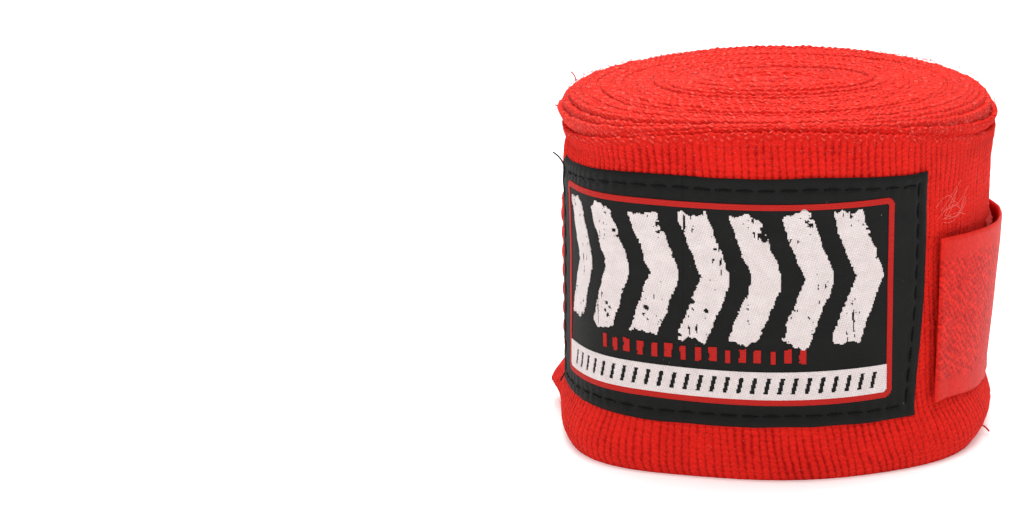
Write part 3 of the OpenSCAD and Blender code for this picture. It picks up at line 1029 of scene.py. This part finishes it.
def chevron_mask(angle, z):
    """Brush-like chevrons that point with the winding, worn through in places."""
    stroke, point, count = CHEVRONS["stroke"], CHEVRONS["point"], CHEVRONS["count"]
    base = FRAME_LOW + FRAME_LINE + BAR_HEIGHT + DASH_ROW["gap"] + DASH_ROW["height"] + CHEVRONS["gap"]
    half = CHEVRONS["height"] / 2
    inset = arc_degrees(FRAME_LINE + CHEVRONS["inset"] + (stroke + point) / 2)
    first, last = FRAME_START - inset, FRAME_END + inset
    pitch = (first - last) / (count - 1)
    number = np.clip(np.round((first - angle) / pitch), 0, count - 1)
    u = arc_mm(angle - (first - number * pitch)) + (stroke + point) / 2 + ragged(angle, z, 71)
    v = (z - base - half) / half
    x = arc_mm(angle)
    uneven_end = 0.10 * wave_noise(x * 0.9 + number * 3, number, 73) + ragged(angle, z, 74) / half
    left = point * (1 - np.abs(v))
    shape = (u > left) & (u < left + stroke) & (np.abs(v) < 0.97 + uneven_end)
    wear = wave_noise(x * 1.9, z * 0.9, 75) + 0.6 * wave_noise(x * 5.5, z * 3.5, 76)
    streak = wave_noise(x * 3.2 + z * 0.3, z * 0.35, 77) + 0.5 * wave_noise(x * 6, z * 4, 78)
    towards_end = smoothstep(np.abs(v) * 1.2 - 0.35)
    worn = (wear > 1.28 - 0.35 * towards_end) | (streak > 1.25 - 0.40 * towards_end)
    return shape & ~worn


def white_mask(angle, z):
    return bar_mask(angle, z) | chevron_mask(angle, z)


def join_corners(filled):
    """Fills one cell wherever two filled cells would meet only at a corner."""
    filled = filled.copy()
    a, b, c, d = filled[:-1, :-1], filled[1:, 1:], filled[1:, :-1], filled[:-1, 1:]
    for _ in range(3):
        c |= a & b & ~c & ~d
        a |= c & d & ~a & ~b
    return filled


def middles(edges):
    return (edges[1:] + edges[:-1]) / 2


def woven_threads(name, joint, mask, material):
    """Raised threads: a small block for each cell of cloth the mask picks, joined into closed islands."""
    start, end = zone_span(joint, FRAME_START + 0.5, FRAME_END - 0.5)
    low, high = FRAME_LOW - 0.3, FRAME_HIGH + 0.3
    edge_angle = np.linspace(start, end, round(arc_mm(start - end) / CELL) + 1)
    edge_z = np.linspace(low, high, round((high - low) / CELL) + 1)
    filled = join_corners(mask(*grid(middles(edge_angle), middles(edge_z))))
    angle, z = grid(edge_angle, edge_z)
    cells = grid_cells(angle.shape)
    tops = cells[filled]
    quads = [tops, tops[:, ::-1] + angle.size]
    beside = np.pad(filled, 1)
    for step_x, step_z, first, second in ((1, 0, 1, 2), (-1, 0, 3, 0), (0, 1, 2, 3), (0, -1, 0, 1)):
        neighbour = np.roll(beside, (-step_x, -step_z), (0, 1))[1:-1, 1:-1]
        open_side = cells[filled & ~neighbour]
        a, b = open_side[:, first], open_side[:, second]
        quads.append(np.stack([b, a, a + angle.size, b + angle.size], -1))
    quads = np.concatenate(quads)
    face = label_face(angle, z)
    sheets = [wrap_points(angle, face + step, z + label_drop(angle)) for step in (THREAD_RAISE, -THREAD_SINK)]
    vertices = np.stack(sheets).reshape(-1, 3)
    uv = np.tile(cloth_uv(angle, z).reshape(-1, 2), (2, 1))
    used, place = np.unique(quads, return_inverse=True)
    quads = facing_out(vertices[used], place.reshape(quads.shape))
    return make_object(name, vertices[used], [quads], uv[used], material, smooth=False)


def stitch_paths(points, face, rise, drop=lambda winding: 0.0):
    """Threads for stitches given as (from, to) pairs of (winding, z). Each one comes up and goes down."""
    points = np.asarray(points, float)
    part = np.linspace(0, 1, 9)[None, :, None]
    winding, z = np.moveaxis(points[:, :1] + part * (points[:, 1:] - points[:, :1]), -1, 0)
    lift = rise * (1.5 * np.sin(math.pi * part[..., 0]) ** 0.45 - 0.75)
    return wrap_points(winding, face(winding, z) + lift, z + drop(winding))


def row_of_stitches(start, end, z_at):
    """(from, to) pairs of (winding, z) along a line whose height z_at gives."""
    step, length = arc_degrees(STITCH_PITCH), arc_degrees(STITCH_LENGTH)
    return [((a, z_at(a)), (a - length, z_at(a - length))) for a in np.arange(start, end + length, -step)]


def column_of_stitches(low, high, winding_at):
    return [((winding_at(z), z), (winding_at(z + STITCH_LENGTH), z + STITCH_LENGTH))
            for z in np.arange(low, high - STITCH_LENGTH, STITCH_PITCH)]


def label_stitches():
    inset = arc_degrees(STITCH_INSET)
    end = LABEL_END + inset
    low, high = LABEL_LOW + 2, LABEL_HIGH - 1.5
    stitches = row_of_stitches(LABEL_START - 7, end, lambda a: label_edges(a)[0] + STITCH_INSET)
    stitches += row_of_stitches(LABEL_START - inset, end, lambda a: label_edges(a)[1] - STITCH_INSET)
    stitches += column_of_stitches(low, high, lambda z: label_start(z) - inset)
    return stitches + column_of_stitches(low, high, lambda z: end)


def build_label():
    cloth, red, white = label_cloth_material(), label_red_material(), label_white_material()
    black = thread_material("black_thread", "#030303", "#141415")
    stitches = label_stitches()
    for joint, numbers in ((1, "1"), (2, "23")):
        highest = LABEL_START + 2 if joint == 1 else ZONE_EDGES[joint]
        here = [s for s in stitches if ZONE_EDGES[joint + 1] <= (s[0][0] + s[1][0]) / 2 < highest]
        paths = stitch_paths(here, label_face, 0.13, label_drop)
        sheet = label_piece(f"label_bend_{joint}", joint, cloth)
        reds = woven_threads(f"red_floats_{joint}", joint, red_mask, red)
        whites = woven_threads(f"white_floats_{joint}", joint, white_mask, white)
        seam = tubes(f"label_seam_{joint}", paths, SEAM_RADIUS, SEAM_SIDES, black)
        for piece, slot, node in ((sheet, "label_cloth", "label_cloth"),
                                  (reds, "label_red", "label_red_threads"),
                                  (whites, "label_white", "label_white_threads"),
                                  (seam, "black_thread", "label_stitching")):
            dress(piece, joint, slot, *[f"{node}_{number}" for number in numbers])


# ---- hook strip

STRIP_THICK = 0.6
STRIP_MARGIN = 3.2
STRIP_SAG = 2.3
STRIP_MESH_STEP = 0.24
WEAVE_PITCH = 0.86
HOOK_PITCH = 1.2
HOOK_LENGTH = 0.42
HOOK_RADIUS = 0.085
ROOT_SEAM_END = -106.0

# Winding angles where the strip's five pieces meet, and the span handed to bend_between for each of them
STRIP_ZONES = [ROOT_START, -136.0, -184.0, -232.0, -276.0, TIP_END]
STRIP_BENDS = [(ROOT_SEAM_END, -134.0), (-138.0, -182.0), (-186.0, -230.0),
               (-234.0, -274.0), (-295.0, -314.0)]


def strip_face(winding, z):
    """Outer face of the strip: sewn down at its root, clear of the roll, pulled in at its lower edge."""
    rise = ease(winding, -112, -160)
    root = TAIL_RADIUS + 0.45
    level = (z - (STRIP_LOW + STRIP_HIGH) / 2) / ((STRIP_HIGH - STRIP_LOW) / 2)
    tilt = hill(winding, -272, 34) * (0.95 * level - 1.10 + 0.1 * (1 - level ** 2))
    tip = ease(winding, -284, -314)
    close = -0.55 * tip + 0.25 * tip * ease(winding, -310, -316) * (0.4 - level)
    hug = -1.0 * rise * ease(winding, -270, -258)
    base = root + (STRIP_RADIUS - root) * rise + (1 - rise) * skin(winding, z)
    return base + tilt + close + hug + 0.05 * wave_noise(np.radians(winding) * 5, z * 0.2, 81)


def strip_sag(winding):
    """The strip dips where it comes round the side."""
    return -STRIP_SAG * hill(winding, -268, 38) + 0.10 * wave_noise(np.radians(winding) * 3, 0, 83)


def strip_weave(s, y):
    """Small diagonal floats, 0..1."""
    drift = 0.25 * wave_noise(s * 0.8, y * 0.8, 85)
    slant = 0.5 + 0.5 * np.sin(2 * math.pi / WEAVE_PITCH * (0.80 * s - 0.60 * y + drift))
    cross = 0.5 + 0.5 * np.sin(2 * math.pi / WEAVE_PITCH * (0.35 * s + 0.93 * y - drift))
    return slant * cross


def strip_piece(index, material):
    """One length of webbing. The last one has a slanted end and a lifted lower corner."""
    start, end = STRIP_ZONES[index], STRIP_ZONES[index + 1]
    width = STRIP_HIGH - STRIP_LOW
    columns = int(math.radians(start - end) * STRIP_RADIUS / STRIP_MESH_STEP)
    rows = int(width / STRIP_MESH_STEP)
    winding, level = grid(np.linspace(start, end, columns), np.linspace(0, 1, rows))
    is_last = index == len(STRIP_BENDS) - 1
    if is_last:
        end = TIP_END - 0.3 - 1.2 * (1 - level)
        winding = start + (winding - start) * (end - start) / (TIP_END - start)
    s, y = np.radians(-winding) * STRIP_RADIUS, level * width
    z = STRIP_LOW + y + strip_sag(winding) + 0.6 * (1 - level) * ease(winding, -290, -315)
    from_edge = np.minimum(y, width - y)
    from_end = np.radians(winding - end if is_last else start - winding) * STRIP_RADIUS
    free_edge = np.minimum(from_edge, from_end) if is_last or index == 0 else from_edge
    thin = 0.22 * (1 - ease(free_edge, 0, 0.5))
    field = ease(from_edge, STRIP_MARGIN - 0.6, STRIP_MARGIN + 0.4)
    outer = strip_face(winding, z) + 0.05 * field * (0.3 - strip_weave(s, y)) - thin
    inner = strip_face(winding, z) - STRIP_THICK + thin
    return closed_sheet(f"strip_bend_{index + 1}", winding, z, outer, inner, np.stack([s, y], -1), material)


def hook_piece(index, material):
    """Rows of small J-shaped hooks on the strip's inner face. Alternate rows face opposite ways."""
    start = min(STRIP_ZONES[index], HINGES[3] - 2)
    end = max(STRIP_ZONES[index + 1], TIP_END + 2)
    step = math.degrees(HOOK_PITCH / STRIP_RADIUS)
    heights = np.arange(STRIP_LOW + STRIP_MARGIN, STRIP_HIGH - STRIP_MARGIN, HOOK_PITCH)
    winding, z = grid(np.arange(start - step / 2, end, -step), heights)
    is_odd = np.round((z - STRIP_LOW) / HOOK_PITCH).astype(int).ravel() % 2
    winding, z = winding.ravel(), z.ravel()
    winding = winding + step * 0.5 * is_odd + rng.normal(0, 0.08, winding.shape)
    keep = (winding > end + 0.5) & (winding < start)
    winding, z, is_odd = winding[keep][:, None], z[keep][:, None], is_odd[keep][:, None]
    stem = HOOK_LENGTH * np.array([0.0, 0.45, 0.8, 1.0, 0.86])
    bend = np.array([0.0, 0.0, 0.12, 0.30, 0.42]) * (1 - 2 * is_odd)
    radius = strip_face(winding, z) - STRIP_THICK + 0.05 - stem
    paths = wrap_points(winding + np.degrees(bend / STRIP_RADIUS), radius, z + strip_sag(winding) + 0 * bend)
    return tubes(f"hooks_bend_{index + 1}", paths, HOOK_RADIUS, 5, material)


def dress_strip(piece, index, slot, *nodes):
    """Bakes a piece's transform through bend_between for one length of the strip, without bending it, and
    hides its nodes. The slot is not used.
    """
    bend_between(piece, index + 3, *STRIP_BENDS[index])
    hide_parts(*nodes)


def build_strip(red):
    webbing, nylon = webbing_material(), hook_material()
    for index, link in enumerate(("1", "2", "3", "4", "tip")):
        nodes = [f"hook_strip_{link}"] if index else ["hook_strip_root", f"hook_strip_{link}"]
        dress_strip(strip_piece(index, webbing), index, "hook_strip_webbing", *nodes)
        dress_strip(hook_piece(index, nylon), index, "hooks", f"hooks_{link}")
    low, high = STRIP_LOW + 1.3, STRIP_HIGH - 1.3
    root = ROOT_START - 2
    stitches = row_of_stitches(root, ROOT_SEAM_END, lambda a: low)
    stitches += row_of_stitches(root, ROOT_SEAM_END, lambda a: high)
    stitches += column_of_stitches(low + 1, high, lambda z: root)
    stitches += column_of_stitches(low + 1, high, lambda z: ROOT_SEAM_END)
    seam = tubes("strip_seam", stitch_paths(stitches, strip_face, STITCH_RISE), SEAM_RADIUS, SEAM_SIDES, red)
    dress_strip(seam, 0, "red_thread", "strip_stitching")


# ---- loop patch

PATCH_THICK = 0.28
PATCH_SAG = 2.4
PATCH_MESH_STEP = 0.5
PILE_PITCH = 0.85
PILE_REACH = 0.34
PILE_HEIGHT = 0.42
PILE_RADIUS = 0.055


def patch_face(winding, z):
    return tape_face(winding, z) + PATCH_THICK


def patch_drop(winding):
    """The patch is sewn a little low where the strip sags over it."""
    return -PATCH_SAG * hill(winding, 92, 38)


def patch_base(material):
    columns = int(arc_mm(PATCH_START - PATCH_END) / PATCH_MESH_STEP)
    winding, z = grid(np.linspace(PATCH_START, PATCH_END, columns), np.linspace(PATCH_LOW, PATCH_HIGH, 52))
    side = arc_mm(np.minimum(PATCH_START - winding, winding - PATCH_END))
    from_edge = np.minimum(np.minimum(z - PATCH_LOW, PATCH_HIGH - z), side)
    z = z + patch_drop(winding)
    outer = patch_face(winding, z) - 0.18 * (1 - ease(from_edge, 0, 0.6)) + 0.04 * wave_noise(winding, z, 91)
    under = tape_face(winding, z) - 0.06
    return closed_sheet("loop_patch_base", winding, z, outer, under, cloth_uv(winding, z), material)


def patch_pile(material):
    """Small loops of thread that stand on the patch and face every way."""
    windings = np.arange(PATCH_END + 2, PATCH_START - 2, arc_degrees(PILE_PITCH))
    heights = np.arange(PATCH_LOW + 1.8, PATCH_HIGH - 1.6, PILE_PITCH)
    winding, z = grid(windings, heights)
    winding = (winding + rng.normal(0, 0.4, winding.shape)).ravel()[:, None]
    z = (z + rng.normal(0, 0.22, z.shape)).ravel()[:, None] + patch_drop(winding)
    heading = rng.uniform(0, math.pi, winding.shape)
    turn = np.linspace(0, math.pi, 7)[None, :]
    reach = PILE_REACH * np.cos(turn)
    radius = patch_face(winding, z) - 0.08 + PILE_HEIGHT * np.sin(turn)
    paths = wrap_points(winding + arc_degrees(reach * np.cos(heading)), radius, z + reach * np.sin(heading))
    return tubes("loop_patch_pile", paths, PILE_RADIUS, 4, material)


def build_patch(red):
    pile = pile_material()
    dress(patch_base(pile), 0, "loop_pile", "loop_patch")
    dress(patch_pile(pile), 0, "loop_pile")
    stitches = []
    for level in (PATCH_LOW + 1.1, PATCH_HIGH - 1.1):
        stitches += row_of_stitches(PATCH_START - 2, PATCH_END + 2, lambda a: level + patch_drop(a))
    seam = tubes("loop_patch_seam", stitch_paths(stitches, patch_face, STITCH_RISE), 0.16, SEAM_SIDES, red)
    dress(seam, 0, "red_thread", "loop_patch_stitching")


# ---- thumb loop

LOOP_HALF_THICK = 0.27
LOOP_FLATNESS = 0.86
LOOP_STATIONS = 180


def build_thumb_loop(red):
    """The folded tape of the thumb loop, shut inside the core, and the zigzag stitching that holds it."""
    low, high = node_box("thumb_loop")
    middle = (low + high) / 2
    reach, depth = (high[0] - low[0]) / 2 - 0.4, (high[1] - low[1]) / 2 - 0.35
    turn = np.linspace(0, 2 * math.pi, LOOP_STATIONS + 1)[:-1]
    path = np.stack([middle[0] + reach * np.cos(turn) * (1 - 0.06 * np.cos(2 * turn)),
                     middle[1] + depth * np.sin(turn) * (LOOP_FLATNESS + 0.2 * np.cos(turn) ** 2)], -1)
    along = np.roll(path, -1, 0) - np.roll(path, 1, 0)
    normal = np.stack([along[:, 1], -along[:, 0]], -1) / np.linalg.norm(along, axis=1, keepdims=True)
    side, height, bulge = band_profile(np.linspace(0, 1, 24), np.linspace(0, 1, 24), 5)
    rows = height * (high[2] - low[2])
    ripple = 0.06 * wave_noise(turn[:, None] * 6, rows * 0.4, 95)
    ring = path[:, None] + normal[:, None] * (side * LOOP_HALF_THICK + ripple)[:, :, None]
    z = low[2] + rows + 0.2 * bulge + 0.12 * np.sin(turn * 3)[:, None]
    vertices = np.concatenate([ring, z[:, :, None]], -1).reshape(-1, 3)
    quads = facing_out(vertices, loft_faces(LOOP_STATIONS, len(side), closed=True)[0])
    uv = np.stack([turn[:, None] * reach + 0 * ripple, rows + 0 * ripple], -1).reshape(-1, 2)
    loop = make_object("thumb_loop_tape", vertices, [quads], uv, loop_tape_material())
    dress(loop, None, "thumb_loop_tape", "thumb_loop")
    low, high = node_box("thumb_loop_stitching")
    x = np.linspace(low[0], high[0], 11)
    face = np.full_like(x, middle[1] + depth * LOOP_FLATNESS - LOOP_HALF_THICK - 0.02)
    zigzag = 0.35 * (-1) ** np.arange(11)
    bars = [np.stack([x, face, level + zigzag], -1) for level in np.linspace(low[2], high[2], 5)]
    seam = tubes("thumb_loop_seam", bars, 0.15, SEAM_SIDES, red)
    dress(seam, None, "red_thread", "thumb_loop_stitching")


# ---- loose fibres and thread ends

TOP_FIBRES = 6000
SIDE_FIBRES = 380
LINT_STRANDS = 11
LINT_RADIUS = 0.016
TOP_FIBRE_RADII = np.array([[0.032, 0.03, 0.028, 0.025, 0.02, 0.01]])
SIDE_FIBRE_RADII = np.array([[0.025, 0.023, 0.02, 0.018, 0.015, 0.008]])


def unit(vectors):
    return vectors / np.linalg.norm(vectors, axis=1, keepdims=True)


def fibre_paths(start, length, curl):
    """Short curly fibres that wander off from their starting points, mostly upward."""
    pieces = TOP_FIBRE_RADII.size - 1
    heading = unit(rng.normal(0, 1, start.shape))
    heading[:, 2] = np.abs(heading[:, 2]) * 0.6
    path = [start]
    for _ in range(pieces):
        heading = unit(heading + curl * rng.normal(0, 1, start.shape))
        path.append(path[-1] + heading * (length / pieces)[:, None])
    return np.stack(path, 1)


def build_fibres():
    fluff = fibre_material("fluff", "#bc1411", "#f04236")
    pale = fibre_material("lint", "#d86056", "#f6aca2")
    winding = HINGES[0] + 360 * TURNS * rng.uniform(0, 1, TOP_FIBRES) ** 1.6 + 60
    radius = path_radius(winding) - inner_shift(winding)
    lift = top_lift(winding, radius) * ease(winding - HINGES[0], 0, 190)
    middle = radius - TAPE_THICK / 2 + core_reach(radius) * sideness(winding)
    place = wrap_points(winding, middle, TAPE_HIGH + lift + 0.1)
    paths = fibre_paths(place, rng.uniform(0.3, 0.9, TOP_FIBRES), 0.8)
    dress(tubes("top_fluff", paths, TOP_FIBRE_RADII, 3, fluff), None, "tape")
    for joint in range(3):
        winding = rng.uniform(ZONE_EDGES[joint + 1] + 1, ZONE_EDGES[joint] - 1, SIDE_FIBRES)
        near_top = rng.uniform(0, 1, SIDE_FIBRES) < 0.5
        rim_z, any_z = TAPE_HIGH - rng.exponential(1.5, SIDE_FIBRES), rng.uniform(0.5, 49, SIDE_FIBRES)
        z = np.where(near_top, rim_z, any_z)
        on_label = (winding < LABEL_START) & (winding > LABEL_END) & (z > LABEL_LOW) & (z < LABEL_HIGH)
        winding, z = winding[~on_label], z[~on_label]
        place = wrap_points(winding, tape_face(winding, z) - 0.05, z)
        paths = fibre_paths(place, rng.uniform(0.4, 1.3, len(z)), 0.5)
        dress(tubes(f"fluff_{joint + 1}", paths, SIDE_FIBRE_RADII, 3, fluff), joint, "tape")
    paths = []
    for _ in range(LINT_STRANDS):
        azimuth, z = rng.uniform(44.5, 48.5), rng.normal(36.6, 0.9)
        run, climb, bow = rng.uniform(4.5, 10.5), rng.uniform(-0.6, 4.4), rng.uniform(-1.3, 1.7)
        part = np.linspace(0, 1, 24)
        arch = np.sin(math.pi * part)
        winding, level = azimuth + run * part, z + climb * part ** 1.3 + bow * arch
        paths.append(wrap_points(winding, tape_face(winding, level) + 0.12 + 0.25 * arch ** 2, level))
    dress(tubes("pale_lint", paths, LINT_RADIUS, 4, pale), 0, "tape")


def thread_end(winding, radius, z, run, climb, out):
    """Cut end of a sewing thread: it runs sideways, climbs and leans out of the cloth."""
    part = np.linspace(0, 1, 8)
    height = z + climb * part + 0.2 * np.sin(3 * part)
    return wrap_points(winding + run * part, radius + out * part ** 1.4, height)


def build_thread_ends(red):
    black = thread_material("label_thread_end", "#080808", "#242426")
    rim = TAIL_RADIUS - 2 * TURN_PITCH
    upper = thread_end(-98, rim - 0.4, 50.6, -1.5, 1.2, 1.0)
    under = thread_end(-92, TAIL_RADIUS - 0.9, 46.2, -2.5, 1.0, 1.9)
    dress(tubes("rim_thread_ends", [upper, under], 0.12, 6, red), None, "red_thread")
    corner = thread_end(LABEL_END + 1.0, label_face(LABEL_END + 1.0, 41.5) - 0.1, 40.8, -5.0, 1.2, 1.1)
    lower = thread_end(LABEL_END + 1.5, label_face(LABEL_END + 1.5, 10.0) - 0.1, 8.4, -2.0, -1.8, 0.6)
    dress(tubes("label_thread_ends", [corner, lower], 0.13, 6, black), 2, "black_thread")
    hem = thread_end(69, tape_face(69, 1.6) - 0.2, 1.4, 0.5, -0.9, 0.9)
    dress(tubes("hem_thread_end", [hem], 0.14, 6, red), 0, "red_thread")


stitch_red = thread_material("red_thread", "#960e0e", "#e22e28")
build_label()
build_strip(stitch_red)
build_patch(stitch_red)
build_thumb_loop(stitch_red)
build_fibres()
build_thread_ends(stitch_red)
build_tape()
make_stage()
make_lights()
make_camera()
